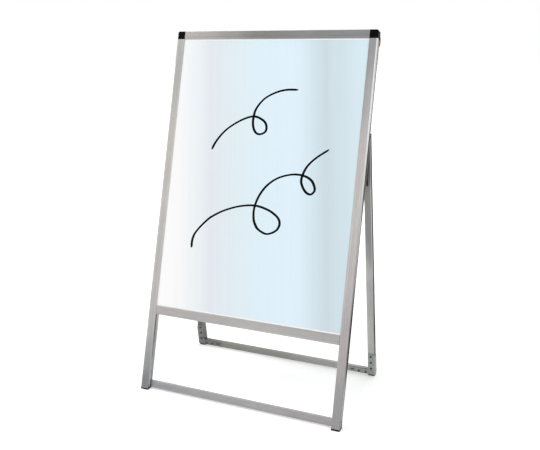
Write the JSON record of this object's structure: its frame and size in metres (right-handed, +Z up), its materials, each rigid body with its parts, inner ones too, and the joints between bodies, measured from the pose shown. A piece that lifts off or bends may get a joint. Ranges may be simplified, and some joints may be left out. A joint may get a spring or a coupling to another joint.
{
  "type": "whiteboard sign stand",
  "caption": "Folding floor sign stand: a leaning aluminium frame holds a white writing board, with a hinged U-shaped rear frame behind it.",
  "frame": {"origin": "centre of the bounding box's base, on the floor between the four feet", "axes": "+X to the right seen from the writing side, the board faces -Y and leans back, +Z up"},
  "size_m": [0.652, 0.3956, 1.0943],
  "materials": {
    "anodised_aluminium": "silver anodised extrusion, fine lines along its length",
    "white_board_face": "glossy white enamelled writing sheet",
    "board_core": "light fibreboard core, hidden in the slots",
    "board_back": "satin grey galvanised back sheet",
    "black_plastic": "moulded black plastic",
    "grey_plastic": "moulded dark grey plastic",
    "nylon": "natural nylon",
    "zinc_steel": "zinc-plated pressed steel, slightly greenish",
    "steel_screws": "dark plated steel fasteners"
  },
  "bodies": {
    "front_frame": {"left_stile": "anodised_aluminium", "right_stile": "anodised_aluminium", "top_rail": "anodised_aluminium", "middle_rail": "anodised_aluminium", "bottom_rail": "anodised_aluminium", "writing_sheet": "white_board_face", "board_core": "board_core", "board_back_sheet": "board_back", "left_corner_cap": "black_plastic", "right_corner_cap": "black_plastic", "left_front_foot": "black_plastic", "right_front_foot": "black_plastic", "rail_keys": "grey_plastic", "frame_screws": "steel_screws", "left_hinge_bracket": "zinc_steel", "right_hinge_bracket": "zinc_steel", "hinge_screws": "steel_screws", "left_stay_lug": "zinc_steel", "right_stay_lug": "zinc_steel", "stay_lug_screws": "steel_screws", "stay_rivets": "steel_screws"},
    "rear_frame": {"left_rear_leg": "anodised_aluminium", "right_rear_leg": "anodised_aluminium", "rear_rail": "anodised_aluminium", "left_leg_cap": "black_plastic", "right_leg_cap": "black_plastic", "left_rear_foot": "grey_plastic", "right_rear_foot": "grey_plastic", "left_corner_bracket": "zinc_steel", "right_corner_bracket": "zinc_steel", "corner_bracket_screws": "steel_screws", "hinge_pins": "steel_screws", "hinge_bushes": "nylon"},
    "left_stay_bar": {"left_stay": "zinc_steel", "left_stay_pin": "steel_screws", "left_stay_rollers": "nylon"},
    "right_stay_bar": {"right_stay": "zinc_steel", "right_stay_pin": "steel_screws", "right_stay_rollers": "nylon"}
  },
  "joints": [
    {"name": "rear_frame_fold", "type": "hinge", "parent": "front_frame", "child": "rear_frame", "pos_m": [0, 0.05393, 0.78473], "axis": [1, 0, 0], "range_deg": [-24.4, 0]},
    {"name": "left_stay_swing", "type": "hinge", "parent": "front_frame", "child": "left_stay_bar", "pos_m": [-0.312, 0.01453, 0.66275], "axis": [1, 0, 0], "range_deg": [0, 18.61]},
    {"name": "right_stay_swing", "type": "hinge", "parent": "front_frame", "child": "right_stay_bar", "pos_m": [0.312, 0.01453, 0.66275], "axis": [1, 0, 0], "range_deg": [0, 18.61]}
  ],
  "couplings": [
    {"joint": "left_stay_swing", "follows": "rear_frame_fold", "ratio": -0.75436},
    {"joint": "right_stay_swing", "follows": "rear_frame_fold", "ratio": -0.75436}
  ]
}
